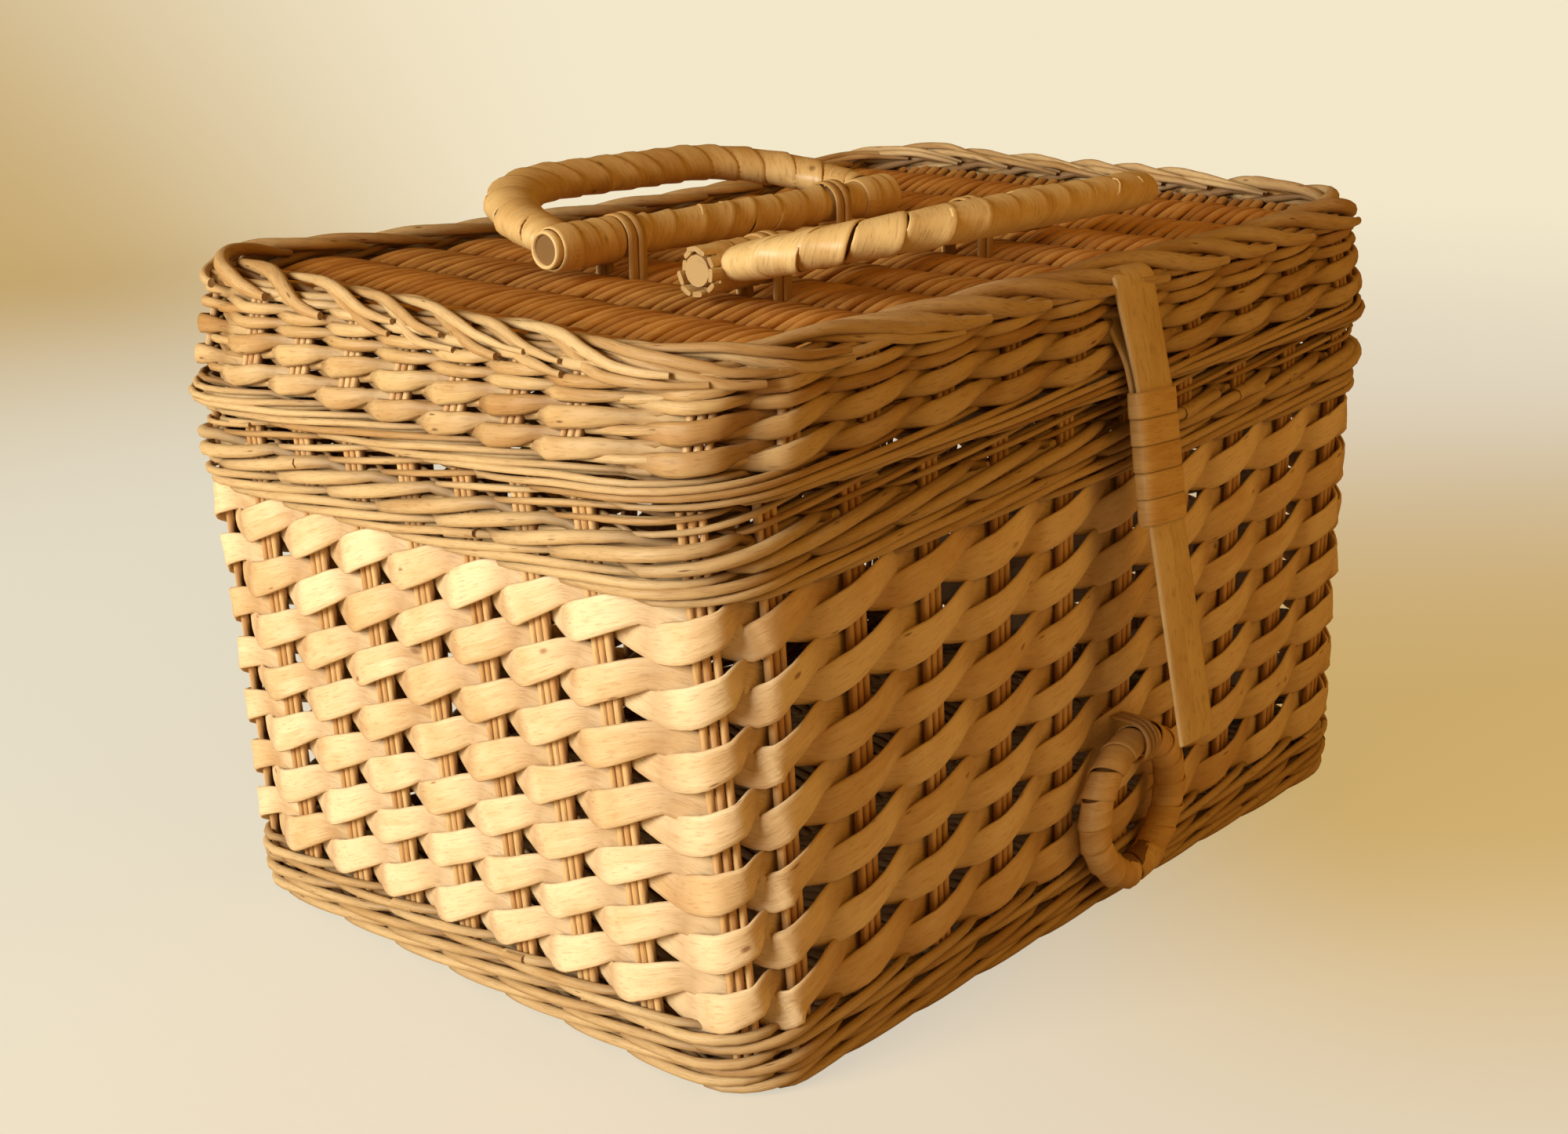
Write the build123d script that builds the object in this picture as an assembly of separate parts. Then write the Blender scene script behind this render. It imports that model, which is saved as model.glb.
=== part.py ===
from build123d import *
import math
import os

# Lidded picnic basket woven from rattan cane, in millimetres, +Z up.
# The origin is the centre of the flat underside. The clasp is on the front, -Y,
# and the lid turns at the back, +Y.

# Outside of the wall at the floor: half length (X), half depth (Y) and corner radius
foot_half_length = 172.0
foot_half_depth = 122.0
foot_corner = 26.0

# How far the wall spreads from the floor to the rim, and how the lid fits over it
rim_spread_length = 14.5
rim_spread_depth = -3.5
rim_spread_corner = 5.0
lid_overhang = 5.5
lid_corner_growth = 9.0
lid_taper_length = 13.0
lid_taper_depth = 5.0
lid_taper_corner = 6.0

# Heights of the courses, from the floor up
foot_border_height = 7.0
lower_waling_height = 7.0
band_rows = 13
band_height = 9.5
band_gap = 0.88
upper_waling_height = 17.0
body_rim_height = 9.5
lid_seat_gap = 0.3
lid_border_height = 16.0
lid_wall_height = 16.0
lid_top_height = 8.0

# Flat bands and the canes that stand between them
band_thickness = 1.8
cane_diameter = 2.7
canes_per_stake = 3
cane_gap = 0.12
front_stakes = 10
end_stakes = 7
front_stake_reach = 1.0
end_stake_reach = 0.85
weave_clearance = 0.7
channel_clearance = 0.3
fit_gap = 0.1

# Twisted rods of the borders and walings
foot_rod_count = 2
lower_waling_rod_count = 2
upper_waling_rod_count = 4
body_rim_rod_count = 2
lid_border_rod_count = 4
lid_wall_rod_count = 4
lid_top_rod_count = 2
rod_groove = 0.9
waling_proud = 2.0
rim_proud = 3.0
border_width = 10.5

# Woven panels and the sticks inside them
base_thickness = 8.0
base_stick_diameter = 4.8
base_sticks_count = 7
panel_thickness = 6.0
panel_drop = 4.5
rib_diameter = 3.6
rib_count = 9
rib_pitch = 34.1
rib_middle = 8.5
panel_edge_gap = 0.3
stick_gap = 0.15

# Hinge at the back: a border rod of the lid in loops of cane
hinge_rod_diameter = 5.0
hinge_rod_length = 276.0
hinge_loop_count = 3
hinge_loop_pitch = 67.0
hinge_loop_width = 6.0
hinge_loop_drop = 16.5
hinge_clearance = 0.35
lashing_thickness = 1.6

# Handles: a bent bow, bound in peel, on a base bar lashed to the lid
bow_core_width = 15.0
bow_core_height = 9.0
bow_wrap_thickness = 1.5
bar_core_diameter = 10.4
bar_wrap_thickness = 1.1
bar_overhang = 8.3
bar_peg = 1.5
wrap_gap = 0.1
handle_tilt = 13.0
back_bar_left = -99.0
back_bar_right = 50.0
back_bar_y = 18.0
back_bar_rise = 11.5
back_bow_reach = 55.0
front_bar_left = -94.0
front_bar_right = 62.0
front_bar_y = -44.0
front_bar_rise = 10.6
front_bow_reach = 62.0
bow_corner = 45.0
handle_lashing_inset = 22.0
handle_lashing_width = 8.0
handle_clearance = 0.5

# Clasp strap: one flat cane folded over a rod of the lid's top border
strap_x = 10.0
strap_width = 20.0
strap_thickness = 2.3
strap_rod_diameter = 4.4
strap_rod_inset = 3.2
strap_rod_drop = 5.0
strap_rod_seat = 6.0
strap_clearance = 0.7
strap_side_gap = 1.0
strap_fold_out = 9.2
strap_fold_drop = 27.74
strap_bend_out = 12.2
strap_bend_drop = 37.74
strap_bound_out = 20.5
strap_bound_drop = 79.74
strap_tip_out = 30.0
strap_tip_drop = 149.74
binding_count = 5
binding_width = 8.4
binding_thickness = 0.9

# Clasp ring: a bent cane bound in peel, hanging from a lashing on the front wall
ring_x = 9.0
ring_z = 38.0
ring_radius = 22.3
ring_core_diameter = 8.4
ring_wrap_thickness = 1.2
ring_gap_angle = 4.0
ring_wall_gap = 1.6
ring_lashing_width = 6.0
ring_clearance = 0.6
ring_lashing_depth = 15.0

# Outsides of the rim and of the lid that follow from the foot
rim_half_length = foot_half_length + rim_spread_length
rim_half_depth = foot_half_depth + rim_spread_depth
rim_corner = foot_corner + rim_spread_corner
lid_low_half_length = rim_half_length + lid_overhang
lid_low_half_depth = rim_half_depth + lid_overhang
lid_low_corner = rim_corner + lid_corner_growth
lid_top_half_length = lid_low_half_length - lid_taper_length
lid_top_half_depth = lid_low_half_depth - lid_taper_depth
lid_top_corner = lid_low_corner - lid_taper_corner

# Heights that follow from the courses
lower_waling_z = foot_border_height
bands_z = lower_waling_z + lower_waling_height
upper_waling_z = bands_z + band_rows * (band_height + band_gap)
body_rim_z = upper_waling_z + upper_waling_height
body_top_z = body_rim_z + body_rim_height
lid_z = body_top_z + lid_seat_gap
lid_wall_z = lid_z + lid_border_height
lid_top_z = lid_wall_z + lid_wall_height
top_z = lid_top_z + lid_top_height
panel_top_z = top_z - panel_drop
panel_z = panel_top_z - panel_thickness

# Depths that follow from the weave
cane_radius = cane_diameter / 2
weave_swing = cane_radius + weave_clearance + band_thickness / 2
wall_half = weave_swing + band_thickness / 2
channel_half = cane_radius + channel_clearance
bundle_half = canes_per_stake * (cane_diameter + cane_gap) / 2


def body_level(z):
    """Half length, half depth and corner radius of the body's wall at a height."""
    t = z / body_top_z
    return (
        foot_half_length + t * (rim_half_length - foot_half_length),
        foot_half_depth + t * (rim_half_depth - foot_half_depth),
        foot_corner + t * (rim_corner - foot_corner),
    )


def lid_level(z):
    """Half length, half depth and corner radius of the lid's wall at a height."""
    t = (z - lid_z) / (top_z - lid_z)
    return (
        lid_low_half_length + t * (lid_top_half_length - lid_low_half_length),
        lid_low_half_depth + t * (lid_top_half_depth - lid_low_half_depth),
        lid_low_corner + t * (lid_top_corner - lid_low_corner),
    )


def outline(level, z, inset):
    """A rounded rectangle at a height, drawn in from the wall's outside."""
    half_length, half_depth, corner = level(z)
    sketch = RectangleRounded(
        2 * (half_length - inset), 2 * (half_depth - inset), corner - inset
    )
    return Pos(0, 0, z) * sketch.face()


def plain_form(level, z0, z1, inset):
    """The solid inside the wall between two heights, with smooth sides."""
    return loft([outline(level, z0, inset), outline(level, z1, inset)], ruled=True)


def rodded_form(level, z0, z1, rods, inset, groove):
    """The same, with one ridge for each rod and a groove between rods."""
    pitch = (z1 - z0) / rods
    sections = [outline(level, z0, inset + groove)]
    for i in range(rods):
        sections.append(outline(level, z0 + (i + 0.5) * pitch, inset))
        sections.append(outline(level, z0 + (i + 1) * pitch, inset + groove))
    return loft(sections, ruled=True)


def full_ring(level, z0, z1, rods, proud, width):
    """A border: rods inside and outside, closed over the stakes' ends."""
    outside = rodded_form(level, z0, z1, rods, -proud, rod_groove)
    inside = rodded_form(level, z0, z1, rods, width - proud, -rod_groove)
    return outside - inside


def split_ring(level, z0, z1, rods, proud):
    """A waling: rods outside the stakes and rods inside them."""
    outer = rodded_form(level, z0, z1, rods, -proud, rod_groove) - plain_form(
        level, z0, z1, wall_half - channel_half
    )
    inner = plain_form(level, z0, z1, wall_half + channel_half) - rodded_form(
        level, z0, z1, rods, 2 * wall_half, -rod_groove
    )
    return outer, inner


def stations():
    """Where the stakes stand, once round the wall: side and place along it."""
    found = []
    long_wall = (front_stakes, front_stake_reach)
    short_wall = (end_stakes, end_stake_reach)
    for quarter, (count, reach) in enumerate((long_wall, short_wall, long_wall, short_wall)):
        for i in range(count):
            found.append((quarter, -reach + 2 * reach * i / (count - 1)))
        found.append((quarter, None))
    return found


def stake_point(station, level, z, inset):
    """A stake's centre and outward direction at a height."""
    quarter, place = station
    half_length, half_depth, corner = level(z)
    run = half_length - corner if quarter % 2 == 0 else half_depth - corner
    reach = half_depth if quarter % 2 == 0 else half_length
    if place is None:
        normal = (math.sqrt(0.5), -math.sqrt(0.5))
        bend = corner - inset
        local = (run + bend * normal[0], -(reach - corner) + bend * normal[1])
    else:
        local = (place * run, -(reach - inset))
        normal = (0.0, -1.0)
    turn = math.radians(90 * quarter)
    c, s = math.cos(turn), math.sin(turn)
    point = Vector(local[0] * c - local[1] * s, local[0] * s + local[1] * c, z)
    outward = Vector(normal[0] * c - normal[1] * s, normal[0] * s + normal[1] * c, 0)
    return point, outward


def cane(start, end, diameter):
    """A round cane between two heights, its square ends just inside them."""
    along = end - start
    trim = diameter / 2 * math.hypot(along.X, along.Y) / along.length
    plane = Plane(origin=start + along.normalized() * trim, z_dir=along)
    length = along.length - 2 * trim
    return plane * Cylinder(diameter / 2, length, align=(Align.CENTER, Align.CENTER, Align.MIN))


def stake(station, level, z0, z1):
    """Canes side by side, leaning with the wall."""
    low, outward = stake_point(station, level, z0, wall_half)
    high, _ = stake_point(station, level, z1, wall_half)
    beside = Vector(-outward.Y, outward.X, 0)
    canes = []
    for i in range(canes_per_stake):
        shift = beside * ((i - (canes_per_stake - 1) / 2) * (cane_diameter + cane_gap))
        canes.append(cane(low + shift, high + shift, cane_diameter))
    return canes


def band(row):
    """One flat band, in front of one stake and behind the next, all the way round."""
    z0 = bands_z + band_gap / 2 + row * (band_height + band_gap)
    half_run = bundle_half + band_thickness / 2
    outer = []
    inner = []
    for number, station in enumerate(stations()):
        centre, outward = stake_point(station, body_level, z0 + band_height / 2, wall_half)
        side = 1 if (number + row) % 2 == 0 else -1
        along = Vector(-outward.Y, outward.X, 0)
        for step in (-half_run, half_run):
            middle = centre + along * step + outward * (side * weave_swing)
            half = outward * (band_thickness / 2)
            outer.append((middle.X + half.X, middle.Y + half.Y))
            inner.append((middle.X - half.X, middle.Y - half.Y))
    ring = make_face(Polyline(*outer, close=True)) - make_face(Polyline(*inner, close=True))
    return Pos(0, 0, z0) * extrude(ring, amount=band_height)


def loop(x, width, start, end, inner_radius, thickness):
    """A closed loop of cane in the YZ plane, round two centres."""
    run = math.hypot(end[0] - start[0], end[1] - start[1])
    angle = math.degrees(math.atan2(end[1] - start[1], end[0] - start[0]))
    middle = ((start[0] + end[0]) / 2, (start[1] + end[1]) / 2)
    outer_radius = inner_radius + thickness
    sketch = SlotCenterToCenter(run, 2 * outer_radius) - SlotCenterToCenter(run, 2 * inner_radius)
    side = Plane(origin=(x - width / 2, 0, 0), x_dir=(0, 1, 0), z_dir=(1, 0, 0))
    return extrude(side * Pos(*middle) * Rot(0, 0, angle) * sketch, amount=width)


def save(node, shape):
    """Write one node, a solid or a group of separate solids."""
    if isinstance(shape, list):
        shape = Compound(children=shape)
    shape.label = node
    export_step(shape, f"parts/{node}.step")


os.makedirs("parts", exist_ok=True)
round_wall = stations()

# Base: lengthwise sticks in a woven panel that stands on the floor
base_inset = max(border_width, 2 * wall_half) + panel_edge_gap
base_panel = plain_form(body_level, 0, base_thickness, base_inset)
stick_run = foot_half_length - base_inset - base_stick_diameter
base_sticks = []
for i in range(base_sticks_count):
    stick_y = (i - (base_sticks_count - 1) / 2) * 2 * (foot_half_depth - foot_corner) / base_sticks_count
    middle = Pos(0, stick_y, base_thickness / 2) * Rot(0, 90, 0)
    base_sticks.append(middle * Cylinder(base_stick_diameter / 2, 2 * stick_run))
    base_panel -= middle * Cylinder(base_stick_diameter / 2 + stick_gap, 2 * stick_run + 2 * fit_gap)
save("base_sticks", base_sticks)
save("base_weave", base_panel)

# Foot border and the waling above it
save("foot_border", full_ring(body_level, 0, foot_border_height, foot_rod_count, 0, border_width))
lower_outer, lower_inner = split_ring(
    body_level, lower_waling_z + fit_gap, bands_z, lower_waling_rod_count, 0
)
save("lower_waling", [lower_outer, lower_inner])

# Stakes: canes side by side, from the foot border to the body's rim
side_stakes = []
corner_stakes = []
for station in round_wall:
    canes = stake(station, body_level, lower_waling_z + fit_gap, body_rim_z - fit_gap)
    if station[1] is None:
        corner_stakes += canes
    else:
        side_stakes += canes
save("side_stakes", side_stakes)
save("corner_stakes", corner_stakes)

# Clasp ring and the lashing that holds it, which the front wall makes room for
ring_wrap_radius = ring_core_diameter / 2 + ring_wrap_thickness
ring_top_z = ring_z + ring_radius
ring_y = -(body_level(ring_top_z)[1] + ring_wall_gap + ring_wrap_radius)
ring_span = 360 - ring_gap_angle


def bent_ring(inner_radius, outer_radius):
    """A ring of round section, open at the bottom where the cane's ends meet."""
    section = Circle(outer_radius)
    if inner_radius > 0:
        section -= Circle(inner_radius)
    across = Plane(origin=(ring_radius, 0, 0), x_dir=(1, 0, 0), z_dir=(0, 1, 0))
    body = revolve(across * section, axis=Axis.Z, revolution_arc=ring_span)
    open_at_bottom = Rot(0, 0, -90 + ring_gap_angle / 2)
    return Pos(ring_x, ring_y, ring_z) * Rot(90, 0, 0) * open_at_bottom * body


save("ring_core", bent_ring(0, ring_core_diameter / 2))
save("ring_wrap", bent_ring(ring_core_diameter / 2 + wrap_gap, ring_wrap_radius))


def ring_loop(grow):
    """The ring's lashing, through the wall and back, or the room it needs."""
    return loop(
        ring_x,
        ring_lashing_width + 2 * grow,
        (ring_y, ring_top_z),
        (ring_y + ring_lashing_depth, ring_top_z),
        ring_wrap_radius + ring_clearance - grow,
        lashing_thickness + 2 * grow,
    )


save("ring_lashing", ring_loop(0))

# Flat bands of the wall
bands = []
for row in range(band_rows):
    ring = band(row)
    if abs(bands_z + (row + 0.5) * (band_height + band_gap) - ring_top_z) < 2 * band_height:
        ring -= ring_loop(fit_gap)
    bands.append(ring)
save("wall_bands", bands)

# Hinge: loops of cane round a border rod of the lid
hinge_radius = hinge_rod_diameter / 2
hinge_y = lid_low_half_depth
hinge_z = lid_z + hinge_radius


def hinge_loops(grow):
    """The hinge loops, through the body's rim, or the room that they need."""
    return [
        loop(
            (i - (hinge_loop_count - 1) / 2) * hinge_loop_pitch,
            hinge_loop_width + 2 * grow,
            (hinge_y, hinge_z),
            (rim_half_depth, hinge_z - hinge_loop_drop),
            hinge_radius + hinge_clearance - grow,
            lashing_thickness + 2 * grow,
        )
        for i in range(hinge_loop_count)
    ]


def swing_room(gap):
    """Round pockets in the lid's border, where it turns past the hinge loops."""
    radius = hinge_radius + hinge_clearance + lashing_thickness + gap
    pockets = []
    for i in range(hinge_loop_count):
        x = (i - (hinge_loop_count - 1) / 2) * hinge_loop_pitch
        pocket = Cylinder(radius, hinge_loop_width + 2 * gap)
        pockets.append(Pos(x, hinge_y, hinge_z) * Rot(0, 90, 0) * pocket)
    return pockets


save("hinge_loops", hinge_loops(0))
hinge_rod = Pos(0, hinge_y, hinge_z) * Rot(0, 90, 0) * Cylinder(hinge_radius, hinge_rod_length)
save("hinge_rod", hinge_rod)

# Upper waling and the body's rim, threaded by the hinge loops
upper_outer, upper_inner = split_ring(
    body_level, upper_waling_z + fit_gap, body_rim_z - fit_gap, upper_waling_rod_count, waling_proud
)
body_rim = full_ring(
    body_level, body_rim_z, body_top_z, body_rim_rod_count, rim_proud, border_width + rim_proud
)
for room in hinge_loops(fit_gap):
    upper_outer -= room
    upper_inner -= room
    body_rim -= room
save("upper_waling", [upper_outer, upper_inner])
save("body_rim", body_rim)

# Lid's lower border, grooved at the back for the hinge rod
lid_border = full_ring(lid_level, lid_z, lid_wall_z, lid_border_rod_count, 0, border_width + rod_groove)
groove = Box(
    hinge_rod_length + 2 * fit_gap,
    4 * hinge_radius,
    hinge_rod_diameter + 2 * fit_gap,
    align=(Align.CENTER, Align.MIN, Align.MIN),
)
lid_border -= Pos(0, hinge_y - hinge_radius - fit_gap, lid_z - fit_gap) * groove
for room in hinge_loops(4 * fit_gap) + swing_room(4 * fit_gap):
    lid_border -= room
save("lid_lower_border", lid_border)

# Strap rod in the lid's top border, and the window that the strap turns in
strap_rod_radius = strap_rod_diameter / 2
strap_rod_y = -(lid_top_half_depth - strap_rod_inset)
strap_rod_z = top_z - strap_rod_drop
window_width = strap_width + 2 * strap_side_gap
fold_radius = strap_rod_radius + strap_clearance + strap_thickness
window_back = strap_rod_y + fold_radius + 4 * fit_gap
window_front = strap_rod_y - 3 * fold_radius
strap_fold_y = -(lid_top_half_depth + strap_fold_out)
strap_fold_z = top_z - strap_fold_drop
window_low_y = strap_fold_y + strap_thickness + binding_thickness + fit_gap
window_face = make_face(
    Polyline(
        (window_front, top_z + fold_radius),
        (window_back, top_z + fold_radius),
        (window_back, strap_rod_z - strap_rod_diameter),
        (window_low_y, strap_fold_z - strap_thickness),
        (window_front, strap_fold_z - strap_thickness),
        close=True,
    )
)
side_plane = Plane(origin=(strap_x - window_width / 2, 0, 0), x_dir=(0, 1, 0), z_dir=(1, 0, 0))
window = extrude(side_plane * window_face, amount=window_width)
strap_rod_length = window_width + 2 * strap_rod_seat
strap_rod_place = Pos(strap_x, strap_rod_y, strap_rod_z) * Rot(0, 90, 0)
save("strap_rod", strap_rod_place * Cylinder(strap_rod_radius, strap_rod_length))
rod_bore = strap_rod_place * Cylinder(strap_rod_radius + fit_gap, strap_rod_length + 2 * fit_gap)

# Lid's wall, its stakes and its top border
lid_outer, lid_inner = split_ring(lid_level, lid_wall_z + fit_gap, lid_top_z - fit_gap, lid_wall_rod_count, 0)
lid_top = full_ring(lid_level, lid_top_z, top_z, lid_top_rod_count, 0, border_width)
save("lid_wall_weave", [lid_outer - window, lid_inner - window])
save("lid_top_border", lid_top - window - rod_bore)
lid_stakes = []
for station in round_wall:
    low, outward = stake_point(station, lid_level, lid_wall_z, wall_half)
    in_window = outward.Y < -0.9 and abs(low.X - strap_x) < window_width / 2 + 2 * bundle_half
    if not in_window:
        lid_stakes += stake(station, lid_level, lid_wall_z + fit_gap, lid_top_z - fit_gap)
save("lid_stakes", lid_stakes)

# Lid panel over its ribs, with slots for the handles' lashings
panel_inset = max(border_width, 2 * wall_half) + panel_edge_gap
first_rod_z = lid_top_z + lid_top_height / lid_top_rod_count / 2
panel_outline = outline(lid_level, first_rod_z, panel_inset)
lid_panel = extrude(Pos(0, 0, panel_z - first_rod_z) * panel_outline, amount=panel_thickness)
rib_run = lid_top_half_depth - panel_inset - rib_diameter
first_rib = rib_middle - rib_pitch * (rib_count - 1) / 2
lid_ribs = []
for i in range(rib_count):
    rib_x = first_rib + rib_pitch * i
    place = Pos(rib_x, 0, panel_z + panel_thickness / 2) * Rot(90, 0, 0)
    lid_ribs.append(place * Cylinder(rib_diameter / 2, 2 * rib_run))
    lid_panel -= place * Cylinder(rib_diameter / 2 + stick_gap, 2 * rib_run + 2 * fit_gap)

# Handles
bar_radius = bar_core_diameter / 2
bar_wrap_radius = bar_radius + bar_wrap_thickness


def bow_core(path, grow):
    """The bow's flattened cane, or a bigger one round it, wide side in the plane that the bow lies in."""
    start = Plane(origin=path @ 0, x_dir=(1, 0, 0), z_dir=path % 0)
    return sweep(start * Ellipse(bow_core_width / 2 + grow, bow_core_height / 2 + grow), path=path)


def between_ribs(x):
    """The middle of the nearest space between two ribs of the lid panel."""
    first_space = first_rib + rib_pitch / 2
    return first_space + rib_pitch * round((x - first_space) / rib_pitch)


def handle(name, left, right, y, z, reach, side):
    """A bow that lies outward from a base bar, with its bindings and lashings."""
    foot = bar_wrap_radius + fit_gap
    bend = min(bow_corner, reach - foot - fit_gap)
    lean = math.radians(handle_tilt)
    lying = Plane(
        origin=(0, y, z),
        x_dir=(1, 0, 0),
        z_dir=(0, -side * math.sin(lean), math.cos(lean)),
    )
    bow_path = FilletPolyline(
        (left, side * foot, 0),
        (left, side * reach, 0),
        (right, side * reach, 0),
        (right, side * foot, 0),
        radius=bend,
    )
    bow_path = lying * bow_path
    bar_middle = Pos((left + right) / 2, y, z) * Rot(0, 90, 0)
    bar_length = right - left + 2 * bar_overhang
    bar_tube = Cylinder(bar_wrap_radius, bar_length) - Cylinder(bar_radius + wrap_gap, bar_length)
    save(f"handle_{name}_bow", bow_core(bow_path, 0))
    save(f"handle_{name}_bow_wrap", bow_core(bow_path, bow_wrap_thickness) - bow_core(bow_path, wrap_gap))
    save(f"handle_{name}_bar", bar_middle * Cylinder(bar_radius, bar_length + 2 * bar_peg))
    save(f"handle_{name}_bar_wrap", bar_middle * bar_tube)
    lashings = []
    rooms = []
    for end in (left + handle_lashing_inset, right - handle_lashing_inset):
        x = between_ribs(end)
        inner = bar_wrap_radius + handle_clearance
        lashings.append(loop(x, handle_lashing_width, (y, z), (y, panel_z), inner, lashing_thickness))
        rooms.append(
            loop(
                x,
                handle_lashing_width + 2 * fit_gap,
                (y, z),
                (y, panel_z),
                inner - fit_gap,
                lashing_thickness + 2 * fit_gap,
            )
        )
    save(f"handle_{name}_lashings", lashings)
    return rooms


lashing_rooms = handle(
    "back", back_bar_left, back_bar_right, back_bar_y, panel_top_z + back_bar_rise, back_bow_reach, 1
)
lashing_rooms += handle(
    "front", front_bar_left, front_bar_right, front_bar_y, panel_top_z + front_bar_rise, front_bow_reach, -1
)
for room in lashing_rooms:
    lid_panel -= room
save("lid_ribs", lid_ribs)
save("lid_panel_weave", lid_panel)

# Clasp strap: up outside, over the rod and down inside, then bound together
strap_points = [
    Vector(strap_fold_y, strap_fold_z),
    Vector(-(lid_top_half_depth + strap_bend_out), top_z - strap_bend_drop),
    Vector(-(lid_top_half_depth + strap_bound_out), top_z - strap_bound_drop),
    Vector(-(lid_top_half_depth + strap_tip_out), top_z - strap_tip_drop),
]
rod_centre = Vector(strap_rod_y, strap_rod_z)


def beside(points, distance):
    """Points moved sideways from a line, square to it at each point."""
    moved = []
    for i, point in enumerate(points):
        before = points[max(i - 1, 0)]
        after = points[min(i + 1, len(points) - 1)]
        along = (after - before).normalized()
        moved.append(point + Vector(-along.Y, along.X) * distance)
    return moved


def touch(point, radius, hand):
    """Where a line from a point touches a circle round the strap rod."""
    away = point - rod_centre
    angle = math.atan2(away.Y, away.X) + hand * math.acos(radius / away.length)
    return rod_centre + Vector(math.cos(angle), math.sin(angle)) * radius


layer_gap = fit_gap / 2
front_face = beside(strap_points, -(strap_thickness + layer_gap))
front_back = beside(strap_points, -layer_gap)
rear_front = beside(strap_points, layer_gap)
rear_face = beside(strap_points, strap_thickness + layer_gap)
inner_fold = strap_rod_radius + strap_clearance
top_out = rod_centre + Vector(0, fold_radius)
top_in = rod_centre + Vector(0, inner_fold)
out_front = touch(front_face[0], fold_radius, -1)
out_rear = touch(rear_face[0], fold_radius, 1)
in_front = touch(front_back[0], inner_fold, -1)
in_rear = touch(rear_front[0], inner_fold, 1)


def flat(points):
    """Plain pairs for a line in the strap's own plane."""
    return [(point.X, point.Y) for point in points]


outer_line = Polyline(*flat([front_face[3], front_face[2], front_face[1], front_face[0], out_front]))
outer_fold = ThreePointArc(*flat([out_front, top_out, out_rear]))
rear_line = Polyline(*flat([out_rear, rear_face[0], rear_face[1], rear_face[2], rear_front[2]]))
inner_rise = Polyline(*flat([rear_front[2], rear_front[1], rear_front[0], in_rear]))
inner_turn = ThreePointArc(*flat([in_rear, top_in, in_front]))
inner_fall = Polyline(*flat([in_front, front_back[0], front_back[1], front_back[2], front_back[3]]))
tip_line = Line(*flat([front_back[3], front_face[3]]))
strap_edges = [outer_line, outer_fold, rear_line, inner_rise, inner_turn, inner_fall, tip_line]
strap_face = make_face([edge for line in strap_edges for edge in line.edges()])
strap_side = Plane(origin=(strap_x - strap_width / 2, 0, 0), x_dir=(0, 1, 0), z_dir=(1, 0, 0))
save("strap_cane", extrude(strap_side * strap_face, amount=strap_width))

bound_top = strap_points[1]
bound_end = strap_points[2]
bound_run = (bound_end - bound_top).length
bound_along = (bound_end - bound_top).normalized()
bindings = []
for i in range(binding_count):
    middle = bound_top + bound_along * (bound_run * (i + 0.5) / binding_count)
    place = Plane(
        origin=(strap_x, middle.X, middle.Y),
        x_dir=(1, 0, 0),
        z_dir=(0, bound_along.X, bound_along.Y),
    )
    strap_depth = 2 * (strap_thickness + layer_gap + fit_gap)
    hole_width = strap_width + 2 * fit_gap
    width = min(binding_width, bound_run / binding_count - fit_gap)
    sleeve = Box(hole_width + 2 * binding_thickness, strap_depth + 2 * binding_thickness, width)
    bindings.append(place * (sleeve - Box(hole_width, strap_depth, width)))
save("strap_bindings", bindings)
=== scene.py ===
import math

import bpy
import numpy as np
from mathutils import Matrix, Vector


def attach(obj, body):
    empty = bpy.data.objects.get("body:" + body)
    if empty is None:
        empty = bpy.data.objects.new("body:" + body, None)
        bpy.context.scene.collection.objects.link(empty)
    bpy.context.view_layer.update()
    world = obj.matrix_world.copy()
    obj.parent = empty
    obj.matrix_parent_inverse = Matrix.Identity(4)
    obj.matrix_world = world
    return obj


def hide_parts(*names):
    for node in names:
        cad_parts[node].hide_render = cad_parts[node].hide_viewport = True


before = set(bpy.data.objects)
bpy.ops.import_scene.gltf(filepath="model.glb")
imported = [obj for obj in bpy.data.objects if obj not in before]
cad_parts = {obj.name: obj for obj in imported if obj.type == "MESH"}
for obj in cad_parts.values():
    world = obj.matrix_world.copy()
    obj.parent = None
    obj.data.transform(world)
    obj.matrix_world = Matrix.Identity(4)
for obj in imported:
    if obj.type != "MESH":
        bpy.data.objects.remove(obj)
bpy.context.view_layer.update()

# Camera
# The basket is seen from in front of its left corner and a little above the lid, with a normal lens.
# Its level is a hair off true, as a hand-held picture's is.
camera_yaw = math.radians(48.02)
camera_pitch = math.radians(17.04)
camera_roll = math.radians(-0.83)
eye = bpy.data.cameras.new("eye")
eye.lens = 49.33
eye.sensor_width = 36
camera = bpy.data.objects.new("camera", eye)
bpy.context.scene.collection.objects.link(camera)
camera.matrix_world = (
    Matrix.Translation((-0.5573, -0.4831, 0.3234))
    @ Matrix.Rotation(-camera_yaw, 4, "Z")
    @ Matrix.Rotation(math.pi / 2 - camera_pitch, 4, "X")
    @ Matrix.Rotation(camera_roll, 4, "Z")
)
bpy.context.scene.camera = camera

# Floor and light
# A pale cream sheet lies under the basket and runs back out of sight. Daylight comes from the left, on to the
# end wall, and the rest of the room is dimmer and warm, so that the front wall lies in golden shade.


def shade(red, green, blue):
    """A colour as it is read off a picture, 0 to 255, turned into the light that it reflects."""
    levels = [c / 255 for c in (red, green, blue)]
    return [c / 12.92 if c <= 0.04045 else ((c + 0.055) / 1.055) ** 2.4 for c in levels] + [1]


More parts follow.
